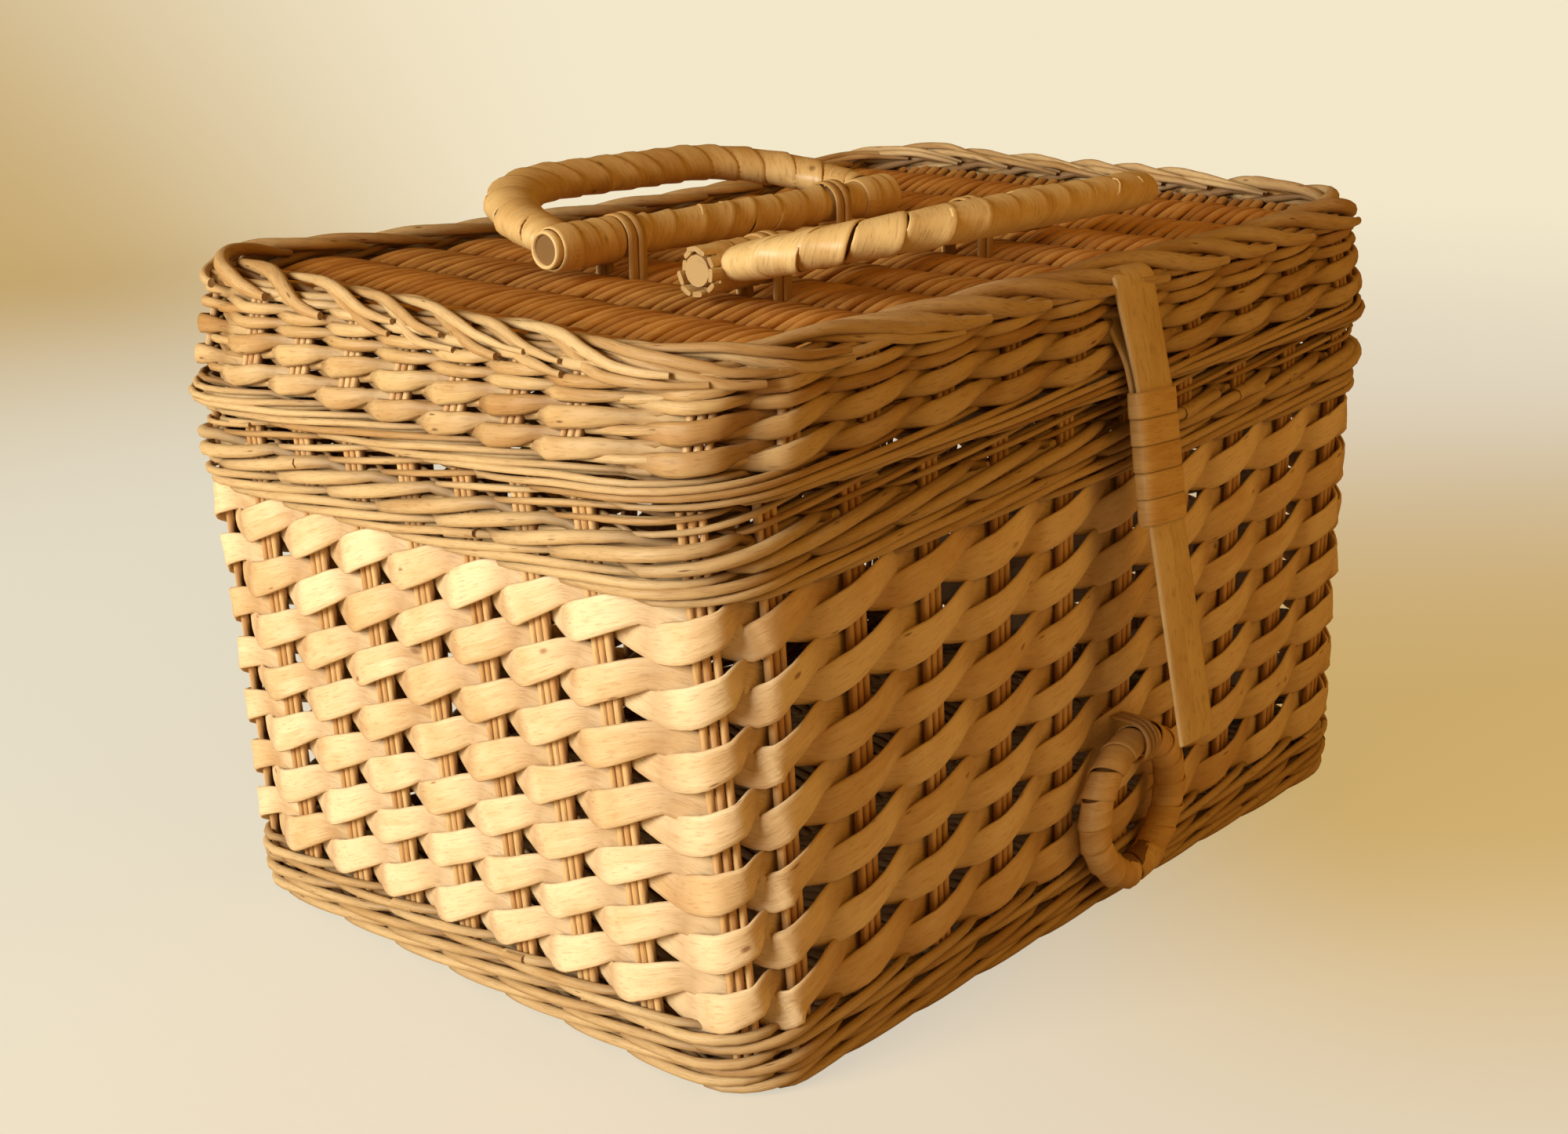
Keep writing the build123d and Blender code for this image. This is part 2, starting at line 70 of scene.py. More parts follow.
class Tap:
    """One output of a finish's nodes, which can be used in sums as a number is."""

    def __init__(self, finish, socket):
        self.finish = finish
        self.socket = socket

    def sum(self, operation, first, second):
        return self.finish.node("ShaderNodeMath", {"operation": operation}, {0: first, 1: second})

    def __add__(self, other):
        return self.sum("ADD", self, other)

    def __radd__(self, other):
        return self.sum("ADD", other, self)

    def __sub__(self, other):
        return self.sum("SUBTRACT", self, other)

    def __rsub__(self, other):
        return self.sum("SUBTRACT", other, self)

    def __mul__(self, other):
        return self.sum("MULTIPLY", self, other)

    def __rmul__(self, other):
        return self.sum("MULTIPLY", other, self)

    def __truediv__(self, other):
        return self.sum("DIVIDE", self, other)


class Finish:
    """A material and the nodes that paint it."""

    def __init__(self, name):
        self.material = bpy.data.materials.new(name)
        self.material.use_nodes = True
        self.tree = self.material.node_tree
        self.tree.nodes.clear()

    def node(self, kind, settings=None, inputs=None, output=0):
        """Adds a node, with its settings first and then the values or links of its sockets."""
        made = self.tree.nodes.new(kind)
        for key, value in (settings or {}).items():
            setattr(made, key, value)
        for key, value in (inputs or {}).items():
            if isinstance(value, Tap):
                self.tree.links.new(value.socket, made.inputs[key])
            else:
                made.inputs[key].default_value = value
        return Tap(self, made.outputs[output]) if len(made.outputs) else None

    def mix(self, factor, first, second, blend="MIX"):
        """One colour over another."""
        settings = {"data_type": "RGBA", "blend_type": blend}
        return self.node("ShaderNodeMix", settings, {0: factor, 6: first, 7: second}, output=2)

    def band(self, value, low, high):
        """0 below low, 1 above high, smooth between them."""
        settings = {"interpolation_type": "SMOOTHSTEP"}
        return self.node("ShaderNodeMapRange", settings, {0: value, 1: low, 2: high})

    def off_front(self, round_it):
        """How far round from the skin side a place is, 0 in the middle of it and 1 past a quarter turn."""
        apart = self.node("ShaderNodeMath", {"operation": "PINGPONG"}, {0: round_it, 1: 0.5})
        return self.band(apart, 0.06, 0.2)

    def surface(self, shader):
        """Ends the nodes in a shader, and gives the material."""
        self.node("ShaderNodeOutputMaterial", inputs={"Surface": shader})
        return self.material


floor_right = (0.669, -0.743, 0)
floor_away = (0.743, 0.669, 0)
floor_finish = Finish("cream_with_painted_light")
floor_place = floor_finish.node("ShaderNodeTexCoord", output=3)
floor_apart = floor_finish.node("ShaderNodeVectorMath", {"operation": "LENGTH"}, {0: floor_place}, output=1)
floor_far = floor_finish.band(floor_apart, 0.45, 1.9)
floor_side, floor_deep = (
    floor_finish.node("ShaderNodeVectorMath", {"operation": "DOT_PRODUCT"}, {0: floor_place, 1: to}, output=1)
    for to in (floor_right, floor_away)
)
# Painted shade: the glow goes darker and yellower far off to the left.
painted_left_shade = floor_finish.band(floor_side / floor_apart, -0.1, -0.5)
painted_left_shade = painted_left_shade * floor_finish.band(floor_apart, 0.5, 1.5)
# Painted shadow: a warm yellow patch on the glow to the right of the basket, where its shadow falls.
painted_warm_shadow = floor_finish.band(floor_side, 0.0, 0.2) * floor_finish.band(floor_deep, -0.3, 0.0)
painted_warm_shadow = painted_warm_shadow * floor_finish.band(floor_deep, 0.8, 0.1)
# Painted light: the glow is whiter on the left, where the daylight falls, and warmer to the right.
cream_with_painted_light = floor_finish.mix(
    floor_finish.band(floor_side, -0.35, 0.0), shade(250, 248, 230), shade(248, 240, 220)
)
floor_with_painted_shadow = floor_finish.mix(painted_warm_shadow, cream_with_painted_light, shade(230, 198, 130))
floor_distant = floor_finish.mix(floor_far, floor_with_painted_shadow, shade(247, 235, 205))
floor_distant = floor_finish.mix(painted_left_shade, floor_distant, shade(202, 172, 116))
floor_speck = floor_finish.node(
    "ShaderNodeTexNoise", inputs={"Vector": floor_place, "Scale": 14.0, "Detail": 3.0}
)
floor_colour = floor_finish.mix(floor_speck * 0.35, shade(206, 182, 134), shade(198, 172, 122))
floor_near = floor_finish.node(
    "ShaderNodeBsdfPrincipled", inputs={"Base Color": floor_colour, "Roughness": 0.7}
)
floor_glow = floor_finish.node("ShaderNodeEmission", inputs={"Color": floor_distant, "Strength": 1.0})
seen = floor_finish.node("ShaderNodeLightPath", output=0)
floor_shader = floor_finish.node(
    "ShaderNodeMixShader", inputs={0: (floor_far * 0.3 + 0.66) * seen, 1: floor_near, 2: floor_glow}
)
floor_mesh = bpy.data.meshes.new("floor")
floor_reach = 30.0
floor_corners = [(x * floor_reach, y * floor_reach, 0) for x, y in ((-1, -1), (1, -1), (1, 1), (-1, 1))]
floor_mesh.from_pydata(floor_corners, [], [(0, 1, 2, 3)])
floor_mesh.materials.append(floor_finish.surface(floor_shader))
floor = bpy.data.objects.new("floor", floor_mesh)
bpy.context.scene.collection.objects.link(floor)


def lamp(name, place, target, size, power, colour):
    """A soft square lamp that points at a place."""
    light = bpy.data.lights.new(name, "AREA")
    light.size = size
    light.energy = power
    light.color = colour
    made = bpy.data.objects.new(name, light)
    made.location = place
    made.rotation_euler = (Vector(target) - Vector(place)).to_track_quat("-Z", "Y").to_euler()
    bpy.context.scene.collection.objects.link(made)


lamp("daylight", (-1.55, 0.22, 0.62), (-0.1, 0, 0.1), 0.7, 36, (0.96, 0.96, 0.88))
lamp("warm_room", (0.5, -1.5, 1.1), (0, 0, 0.1), 1.0, 6.5, (1.0, 0.50, 0.09))
world = bpy.data.worlds.new("room")
world.use_nodes = True
room = world.node_tree.nodes["Background"]
room.inputs["Color"].default_value = (1.0, 0.52, 0.09, 1)
room.inputs["Strength"].default_value = 0.25
bpy.context.scene.world = world
bpy.context.scene.view_settings.view_transform = "Standard"

# Base
# Round sticks lie lengthwise under the basket, and thinner rods are woven across them, over one stick and
# under the next. Lengths here are in millimetres, and become metres when a piece is made.
foot_half_length = 172.0
foot_half_depth = 122.0
foot_corner = 26.0


def section(sides, flat=1.0, back=1.0):
    """The cut through a cane: round, or squarer where flat is under 1, with a flatter back."""
    turn = np.arange(sides) * 2 * math.pi / sides
    out = np.sign(np.cos(turn)) * np.abs(np.cos(turn)) ** flat
    beside = np.sign(np.sin(turn)) * np.abs(np.sin(turn)) ** flat
    out = np.where(out < 0, out * back, out)
    return np.stack([out, beside], axis=1) / 2


def wander(rng, along, reach, size):
    """A hand-made cane's slow drift from its line: a few slow waves with random places."""
    drift = np.zeros(len(along))
    for share in (1.0, 0.62, 0.37):
        drift += share * np.sin(along / (reach * share) * 2 * math.pi + rng.uniform(0, 2 * math.pi))
    return drift * size / 2


def unit(vectors):
    """The same directions with length 1."""
    return vectors / np.maximum(np.linalg.norm(vectors, axis=-1, keepdims=True), 1e-9)


class Canes:
    """Lengths of cane that are gathered into one piece, with the warp that the piece has taken with age."""

    def __init__(self, seed, warp=None):
        self.rng = np.random.default_rng(seed)
        self.warp = warp
        self.strands = []

    def add(self, line, outward, width, thick, cut=section(8), tone=None, crease=0.0, closed=False):
        """One length along a line, its skin side facing outward."""
        line = np.asarray(line, float)
        line = self.warp(line) if self.warp else line
        if closed:
            tangent = unit(np.roll(line, -1, axis=0) - np.roll(line, 1, axis=0))
        else:
            tangent = unit(np.gradient(line, axis=0))
        outward = np.broadcast_to(np.asarray(outward, float), line.shape)
        outward = unit(outward - (outward * tangent).sum(axis=1, keepdims=True) * tangent)
        beside = np.cross(tangent, outward)
        tone = self.rng.uniform(0, 1) if tone is None else tone
        varied = {"width": width, "thick": thick, "tone": tone, "crease": crease}
        strand = {key: np.broadcast_to(np.asarray(v, float), len(line)) for key, v in varied.items()}
        strand.update(line=line, outward=outward, beside=beside, cut=cut, closed=closed)
        strand["start"] = self.rng.uniform(0, 40)
        self.strands.append(strand)

    def piece(self, name, material, body, slot, *nodes):
        """Makes the mesh, with a map along and round each length, and hangs it on its body."""
        corners, quads, caps = [], [], []
        tones, painted_shades_and_dark_tones, cuts = [], [], []
        quad_maps, cap_maps, quad_bakes, cap_bakes = [], [], [], []
        count = 0
        room = 8.0
        row_margin = 0.04
        row_share = 0.92
        lengths = []
        for s in self.strands:
            ends = np.roll(s["line"], -1, axis=0) if s["closed"] else s["line"][1:]
            starts = s["line"] if s["closed"] else s["line"][:-1]
            lengths.append(np.linalg.norm(ends - starts, axis=1))
        girth = max(float((s["width"].max() + s["thick"].max()) * 1.5) for s in self.strands)
        total = sum(float(step.sum()) + 2 * room for step in lengths)
        rows = max(1, int(round(math.sqrt(total / girth))))
        row_run = total / rows
        longest = max(float(step.max()) for step in lengths) + room
        cursor = 0.0
        for s, steps in zip(self.strands, lengths):
            rings, sides = len(s["line"]), len(s["cut"])
            out = s["cut"][:, 0][None, :, None] * s["thick"][:, None, None] * s["outward"][:, None, :]
            side = s["cut"][:, 1][None, :, None] * s["width"][:, None, None] * s["beside"][:, None, :]
            shell = s["line"][:, None, :] + out + side
            corners.append(shell.reshape(-1, 3))
            tones.append(np.repeat(s["tone"], sides))
            painted_shades_and_dark_tones.append(np.repeat(s["crease"], sides))
            cuts.append(np.zeros(rings * sides))
            spans = len(steps)
            i = np.arange(spans)[:, None]
            k = np.arange(sides)[None, :]
            following = (i + 1) % rings
            beyond = (k + 1) % sides
            here = count + i * sides
            there = count + following * sides
            face = np.stack([here + k, here + beyond, there + beyond, there + k], axis=-1)
            quads.append(face.reshape(-1, 4))
            run = np.concatenate([[0.0], np.cumsum(steps)])
            grid = np.zeros((spans, sides))
            near = grid + run[:-1][:, None]
            far = grid + run[1:][:, None]
            low = grid + k / sides
            high = grid + (k + 1) / sides
            flat = np.stack([near, low, near, high, far, high, far, low], axis=-1).reshape(-1, 4, 2)
            quad_maps.append(np.stack([flat[..., 0] / 1000 + s["start"], flat[..., 1]], axis=-1))
            place = cursor + room + run[:-1]
            row = np.floor(place / row_run)
            left = grid + (place - row * row_run)[:, None]
            right = left + steps[:, None]
            row = row[:, None] + row_margin
            bottom, top = row + row_share * low, row + row_share * high
            bake = np.stack([left, bottom, left, top, right, top, right, bottom], axis=-1).reshape(-1, 4, 2)
            quad_bakes.append(bake)
            count += rings * sides
            if not s["closed"]:
                for end, order in ((0, slice(None, None, -1)), (rings - 1, slice(None))):
                    ring = shell[end][order]
                    corners.append(ring)
                    tones.append(np.full(sides, s["tone"][end]))
                    painted_shades_and_dark_tones.append(np.full(sides, s["crease"][end]))
                    cuts.append(np.ones(sides))
                    caps.append(np.arange(count, count + sides))
                    count += sides
                    disc = s["cut"][order]
                    cap_maps.append(disc * 0.01 + s["start"])
                    where = cursor + (room * 0.5 if end == 0 else room * 1.5 + run[-1])
                    row_at = math.floor(where / row_run)
                    spot = np.stack(
                        [where - row_at * row_run + disc[:, 0] * room * 0.8, row_at + 0.5 + disc[:, 1] * 0.4],
                        axis=-1,
                    )
                    cap_bakes.append(spot)
            cursor += run[-1] + 2 * room
        mesh = bpy.data.meshes.new(name)
        corners = np.concatenate(corners) / 1000
        quads = np.concatenate(quads)
        cap_loops = [len(c) for c in caps]
        loops = np.concatenate([quads.reshape(-1)] + caps)
        sizes = np.concatenate([np.full(len(quads), 4), np.array(cap_loops, int)]).astype(int)
        mesh.vertices.add(len(corners))
        mesh.vertices.foreach_set("co", corners.reshape(-1).astype(np.float32))
        mesh.loops.add(len(loops))
        mesh.loops.foreach_set("vertex_index", loops.astype(np.int32))
        mesh.polygons.add(len(sizes))
        mesh.polygons.foreach_set("loop_start", np.concatenate([[0], np.cumsum(sizes)[:-1]]).astype(np.int32))
        rounded_faces = np.concatenate([np.ones(len(quads), bool), np.zeros(len(caps), bool)])
        mesh.polygons.foreach_set("use_smooth", rounded_faces)
        bake_scale = np.array([1 / (row_run + longest), 1 / (rows + 1)])
        for title, maps, cap_parts, scale in (
            ("cane", quad_maps, cap_maps, np.ones(2)),
            ("OFBake", quad_bakes, cap_bakes, bake_scale),
        ):
            layer = mesh.uv_layers.new(name=title)
            flat = np.concatenate([m.reshape(-1, 2) for m in maps] + cap_parts) * scale
            layer.data.foreach_set("uv", flat.reshape(-1).astype(np.float32))
        for title, values in (("tone", tones), ("crease", painted_shades_and_dark_tones), ("cut", cuts)):
            layer = mesh.attributes.new(title, "FLOAT", "POINT")
            layer.data.foreach_set("value", np.concatenate(values).astype(np.float32))
        mesh.update(calc_edges=True)
        mesh.validate()
        mesh.materials.append(material)
        made = bpy.data.objects.new(name, mesh)
        bpy.context.scene.collection.objects.link(made)
        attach(made, body)
        if nodes:
            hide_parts(*nodes)


def cane_finish(name, pale, deep, dark, streaks=9.0, nicks=0.6, roughness=0.5, fuzz=0.35, sides=0.0):
    """Natural cane: each length has its own tone, with fibres and nicks, painted shade where a length passes
    under or behind others (ties get a darker tone of their own the same way), and painted shade on the sides
    that turn away from the outside.
    """
    finish = Finish(name)
    place = finish.node("ShaderNodeUVMap", {"uv_map": "cane"})
    tone, crease, cut = (
        finish.node("ShaderNodeAttribute", {"attribute_name": title}, output=2)
        for title in ("tone", "crease", "cut")
    )

    def fibre(along, round_it, detail):
        stretched = finish.node("ShaderNodeMapping", {}, {"Vector": place, "Scale": (along, round_it, 1)})
        inputs = {"Vector": stretched, "Scale": 1.0, "Detail": detail, "Roughness": 0.6}
        return finish.node("ShaderNodeTexNoise", {"noise_dimensions": "2D"}, inputs)

    long_fibre = fibre(55, streaks, 3)
    fine_fibre = fibre(190, streaks * 5, 2)
    blotch = fibre(28, 1.2, 2)
    spotted = finish.node("ShaderNodeMapping", {}, {"Vector": place, "Scale": (34, 2.6, 1)})
    flat_cells = {"voronoi_dimensions": "2D"}
    spot = finish.node("ShaderNodeTexVoronoi", flat_cells, {"Vector": spotted, "Scale": 1.0})
    spot_pick = finish.node("ShaderNodeTexVoronoi", flat_cells, {"Vector": spotted, "Scale": 1.0}, 1)
    picked = finish.node("ShaderNodeSeparateColor", {}, {0: spot_pick})
    lean = tone * 0.55 + long_fibre * 0.5 + blotch * 0.7 - 0.42
    base = finish.mix(finish.band(lean, 0.1, 0.9), pale, deep)
    lines = finish.band(fine_fibre, 0.52, 0.75) * 0.28
    base = finish.mix(lines, base, dark)
    nick = finish.band(spot + long_fibre * 0.05, 0.10, 0.04) * finish.band(picked, 0.70, 0.74) * nicks
    base = finish.mix(nick, base, dark)
    # Painted shade: lengths go darker where they pass under or behind others. Ties are darkened the same way,
    # and there it is their own darker tone.
    base = finish.mix(crease * 0.7, base, dark)
    base = finish.mix(cut * 0.45, base, dark)
    if sides:
        # Painted shade: the canes go darker on the sides that turn away from the outside, into the wall.
        across = finish.node("ShaderNodeSeparateXYZ", {}, {0: place}, 1)
        turned_away_shade = finish.off_front(across)
        base = finish.mix(turned_away_shade * sides, base, dark)
    relief = long_fibre * 0.7 + fine_fibre * 0.5 - nick * 0.6
    bump = finish.node("ShaderNodeBump", {}, {"Strength": fuzz, "Distance": 0.0006, "Height": relief})
    rough = roughness + long_fibre * 0.15
    shader = finish.node(
        "ShaderNodeBsdfPrincipled",
        inputs={"Base Color": base, "Roughness": rough, "Normal": bump, "Specular IOR Level": 0.35},
    )
    return finish.surface(shader)


base_finish = cane_finish("base_cane", shade(208, 172, 122), shade(182, 138, 88), shade(112, 72, 36))
base_stick_count = 7
base_stick = 3.6
base_rod = 2.5
base_rod_gap = 0.35
base_level = 4.35
base_inset = 10.8
base_margin = 1.5
base_corner = foot_corner - 10
base_reach_y = foot_half_depth - base_inset
base_reach_x = foot_half_length - base_inset
stick_pitch = 2 * (foot_half_depth - foot_corner) / base_stick_count
sticks = Canes(11)
for i in range(base_stick_count):
    x = np.linspace(-base_reach_x + 2, base_reach_x - 2, 60)
    y = (i - (base_stick_count - 1) / 2) * stick_pitch + wander(sticks.rng, x, 160, 0.5)
    line = np.stack([x, y, np.full_like(x, base_level)], axis=1)
    sticks.add(line, (0, 0, -1), base_stick, base_stick)
sticks.piece("round_base_sticks", base_finish, "basket", "base_cane", "base_sticks")
weave = Canes(12)
rod_count = int(2 * (base_reach_x - base_margin) / (base_rod + base_rod_gap))
for i in range(rod_count):
    x0 = -base_reach_x + base_margin + (i + 0.5) * 2 * (base_reach_x - base_margin) / rod_count
    corner_cut = max(0.0, abs(x0) - (foot_half_length - foot_corner))
    reach = base_reach_y - base_corner + math.sqrt(max(0.0, base_corner**2 - corner_cut**2))
    y = np.linspace(-reach, reach, 56)
    swing = np.cos(math.pi * y / stick_pitch) * (1 if i % 2 else -1) * ((base_stick + base_rod) / 2 - 0.2)
    z = base_level + swing * np.clip((reach - np.abs(y)) / 6, 0, 1)
    line = np.stack([x0 + wander(weave.rng, y, 90, 0.25), y, z], axis=1)
    # Painted shade: a rod is a little darker where it passes under a stick.
    weave.add(line, (0, 0, -1), base_rod + 1.7, base_rod, cut=section(6), crease=np.abs(swing < 0) * 0.1)
weave.piece("base_rods", base_finish, "basket", "base_cane", "base_weave")

# Foot border and lower waling
# Thin rods are twisted round the feet of the stakes, three at a time: each passes in front of two stakes
# and behind the third. New rods are laid in where old ones end, and the cut tips show.
rim_height = 175.44
wall_half = 3.85
stake_knots = np.array([0, 9, 10, 10.61, 11, 17, 17.39, 18, 19])
place_knots = np.array([0, 1, 1.5, 2, 2.075, 2.925, 3, 3.5, 4])
stake_total = 38


def body_level(z):
    """Half length, half depth and corner radius of the body's outside at a height."""
    t = z / rim_height
    return foot_half_length + t * 14.5, foot_half_depth - t * 3.5, foot_corner + t * 5


def wall_run(level, s, z, inset):
    """Points in the wall at stake numbers, heights and depths in from the outside, and which way is out."""
    s = np.asarray(s, float)
    z = np.broadcast_to(np.asarray(z, float), s.shape)
    inset = np.broadcast_to(np.asarray(inset, float), s.shape)
    half_length, half_depth, corner = level(z)
    lap = np.mod(s, stake_total)
    half = lap >= stake_total / 2
    u = np.interp(lap - half * stake_total / 2, stake_knots, place_knots) + 4 * half
    quarter = np.minimum(np.floor(u / 2), 3).astype(int)
    t = u - 2 * quarter
    long_side = quarter % 2 == 0
    run = np.where(long_side, half_length - corner, half_depth - corner)
    reach = np.where(long_side, half_depth, half_length)
    turn = np.clip(t - 1, 0, 1) * math.pi / 2
    x = np.where(t < 1, (2 * t - 1) * run, run + (corner - inset) * np.sin(turn))
    y = np.where(t < 1, -(reach - inset), -(reach - corner) - (corner - inset) * np.cos(turn))
    angle = quarter * math.pi / 2
    c, n = np.cos(angle), np.sin(angle)
    points = np.stack([x * c - y * n, x * n + y * c, z], axis=1)
    face = turn + angle
    return points, np.stack([np.sin(face), -np.cos(face), np.zeros_like(z)], axis=1)


def waling(canes, level, low, high, rows, rod, front, back, over=2, rough_work=0.3, offset=0):
    """Rows of rods that pass in front of some stakes and behind one, spliced where they run out."""
    swell = 0.25
    rods = over + 1
    pitch = (high - low) / rows
    climb = pitch / over
    loops = math.gcd(stake_total, rods)
    lap = stake_total * rods // loops
    rng = canes.rng
    for row in range(rows):
        middle = low + (row + 0.5) * pitch
        for loop in range(loops):
            shift = loop + row + offset
            cuts = []
            at = rods * rng.integers(2, 5)
            while at < lap - rods * 3:
                cuts.append(at)
                at += rods * rng.integers(4, 9)
            for start, end in zip(cuts, cuts[1:] + [cuts[0] + lap]):
                first = start + over - shift - 0.25
                stray = rng.uniform(0.15, 0.4) if rng.uniform() < 0.35 else 0.1
                last = end + over - shift + stray
                s = np.linspace(first, last, int((last - first) * 5) + 2)
                p = np.mod((s + shift - 0.5) / rods, 1.0)
                share = over / rods
                ahead = p < share
                q = np.where(ahead, p / share, (p - share) / (1 - share))
                arch = np.sin(math.pi * q) ** 0.55
                centre = (front + back) / 2
                inset = np.where(ahead, centre - (centre - front) * arch, centre + (back - centre) * arch)
                rise = np.where(ahead, 2 * q - 1, 1 - 2 * q) * climb * over / 2
                inset = inset + wander(rng, s, 3.1, rough_work)
                near_end = np.clip(1 - (last - s) / 0.8, 0, 1)
                inset = inset - near_end**2 * rng.uniform(0.6, 1.4) * (1 + 6 * (stray - 0.1))
                z = middle + rise * 0.92 + wander(rng, s, 5.3, rough_work)
                z = z + near_end**2 * rng.uniform(-2.0, 1.0) * (stray > 0.1)
                line, outward = wall_run(level, s, z, inset)
                taper = np.linspace(1.06, 0.86, len(s))
                # Painted shade: a rod goes darker as it turns in and where it passes behind a stake.
                behind_shade = np.where(ahead, (1 - arch) * 0.75, 0.8)
                canes.add(
                    line,
                    outward,
                    rod * taper * (1 - swell + swell * arch),
                    rod * taper,
                    cut=section(8, 0.9),
                    crease=behind_shade,
                )


rod_finish = cane_finish(
    "border_rods", shade(199, 168, 120), shade(168, 127, 76), shade(88, 48, 16), streaks=5.0, nicks=0.8
)
foot = Canes(21)
waling(foot, body_level, 1.1, 7.4, rows=1, rod=3.2, front=1.75, back=8.6, rough_work=0.12)
waling(foot, body_level, 1.8, 6.2, rows=1, rod=2.6, front=4.6, back=7.2, rough_work=0.1, offset=1)
waling(foot, body_level, 2.2, 6.4, rows=1, rod=2.8, front=7.2, back=11.4, rough_work=0.1, offset=2)
foot.piece("foot_border_rods", rod_finish, "basket", "border_rod", "foot_border")
lower = Canes(22)
waling(lower, body_level, 6.6, 21.5, rows=2, rod=3.2, front=0.5, back=6.6, rough_work=0.45)
waling(lower, body_level, 6.6, 18.0, rows=1, rod=3.2, front=5.2, back=7.6, rough_work=0.2, offset=1)
lower.piece("lower_waling_rods", rod_finish, "basket", "border_rod", "lower_waling")

# Stakes
# Round canes stand side by side between the borders, three to a stake and one stake at each corner,
# and lean with the wall. They show between the bands.
stake_finish = cane_finish(
    "stake_canes",
    shade(214, 174, 118),
    shade(184, 134, 78),
    shade(112, 58, 22),
    streaks=4.0,
    nicks=0.5,
    # Paints shade on the stake canes' sides that turn in from the outside.
    sides=0.35,
)
cane_pitch = 2.82
stake_low = 5.5
stake_high = 174.6


def stake_canes(canes, level, low, high, at):
    """Three canes side by side at each stake number, a little out of upright."""
    size = 2.7
    tilt = 0.35
    for number in at:
        lean = canes.rng.uniform(-tilt, tilt)
        for i in range(3):
            z = np.linspace(low, high, 14)
            s = np.full_like(z, float(number))
            line, outward = wall_run(level, s, z, wall_half)
            beside = np.stack([-outward[:, 1], outward[:, 0], np.zeros_like(z)], axis=1)
            shift = (i - 1) * cane_pitch + lean * (z - (low + high) / 2) / (high - low)
            line = line + beside * (shift + wander(canes.rng, z, 90, 0.12))[:, None]
            canes.add(line, outward, size * canes.rng.uniform(0.9, 1.02), size * 0.98, cut=section(10))


corner_numbers = (10, 18, 29, 37)
side_numbers = [n for n in range(stake_total) if n not in corner_numbers]
side_canes = Canes(31)
stake_canes(side_canes, body_level, stake_low, stake_high, side_numbers)
side_canes.piece("side_stake_canes", stake_finish, "basket", "stake_cane", "side_stakes")
corner_canes = Canes(32)
stake_canes(corner_canes, body_level, stake_low, stake_high, corner_numbers)
corner_canes.piece("corner_stake_canes", stake_finish, "basket", "stake_cane", "corner_stakes")

# Wall bands
# Flat split cane is twisted round the wall two strips at a time, in seven rows. At every stake one strip
# passes in front, rising to the right, while the other goes behind. They change places before the next stake.
band_finish = cane_finish(
    "band_cane",
    shade(230, 203, 160),
    shade(203, 165, 115),
    shade(132, 82, 40),
    streaks=14.0,
    nicks=0.8,
    roughness=0.46,
    fuzz=0.4,
)
bundle_half = 4.3


def at_runs(at, run, points):
    """Points at given lengths along a line."""
    return np.stack([np.interp(at, run, points[:, k]) for k in range(points.shape[1])], axis=1)


def twined(canes, level, low, high, rows, wide, waist, thick, swing, rise, cut, rough_work=0.35):
    """Rows of strips or rods that are twisted round the stakes two at a time."""
    pitch = (high - low) / rows
    rng = canes.rng
    numbers = np.arange(stake_total)
    for row in range(rows):
        row_drift = rng.uniform(0, 40)
        for strand in (0, 1):
            side = np.where((numbers + strand) % 2 == 0, 1, -1)
            stake, facing = wall_run(level, numbers, low + pitch * (row + 0.5), wall_half)
            beside = np.stack([-facing[:, 1], facing[:, 0], np.zeros(stake_total)], axis=1)
            bulge = (side * swing + (side > 0) * rng.uniform(0.0, 0.7, stake_total))[:, None]
            crossing = np.stack(
                [stake + facing * bulge + beside * step * bundle_half for step in (-1, 0, 1)], axis=1
            )
            knots = crossing.reshape(-1, 3)
            knot_s = (numbers[:, None] + np.array([-0.15, 0, 0.15])).reshape(-1)
            s = np.arange(-0.15, stake_total - 0.151, 0.1)
            knots = np.concatenate([knots, knots[:1]])
            knot_s = np.concatenate([knot_s, knot_s[:1] + stake_total])
            line = at_runs(s, knot_s, knots)
            line = (np.roll(line, 1, axis=0) + 3 * line + np.roll(line, -1, axis=0)) / 5
            climb = np.sin(math.pi * (s + strand))
            line[:, 2] += rise * 2 / math.pi * np.arcsin(0.95 * climb)
            line[:, 2] += rough_work * np.sin(s * 1.3 + row_drift) + wander(rng, s, 1.9, rough_work)
            tangent = unit(np.roll(line, -1, axis=0) - np.roll(line, 1, axis=0))
            outward = np.stack([tangent[:, 1], -tangent[:, 0], wander(rng, s, 2.6, 0.16)], axis=1)
            over = np.clip(np.abs(np.cos(math.pi * s)) * 1.5, 0, 1)
            ahead = np.cos(math.pi * (s + strand)) > 0
            joins = np.cumsum(rng.integers(3, 8, 12))
            lengths_tone = rng.uniform(0, 1, len(joins) + 1)
            tone = lengths_tone[np.searchsorted(joins, s + 0.4)]
            width = (waist + (wide - waist) * over) * (1 + wander(rng, s, 2.7, 0.07) - 0.08 * climb * ahead)
            canes.add(
                line,
                outward,
                width,
                thick,
                cut=cut,
                tone=np.clip(tone + wander(rng, s, 1.0, 0.18), 0, 1),
                # Painted shade: darker where the strip narrows and dips behind, and more on the strip that is
                # behind.
                crease=(1 - over) * 0.5 + np.where(ahead, 0, 0.15),
                closed=True,
            )


bands = Canes(41)
strips = dict(wide=11.1, waist=10.0, thick=1.7, swing=3.05, rise=6.2, cut=section(12, 0.55, 0.8))
twined(bands, body_level, 20.6, 150.2, rows=7, **strips)
bands.piece("woven_bands", band_finish, "basket", "band_cane", "wall_bands")

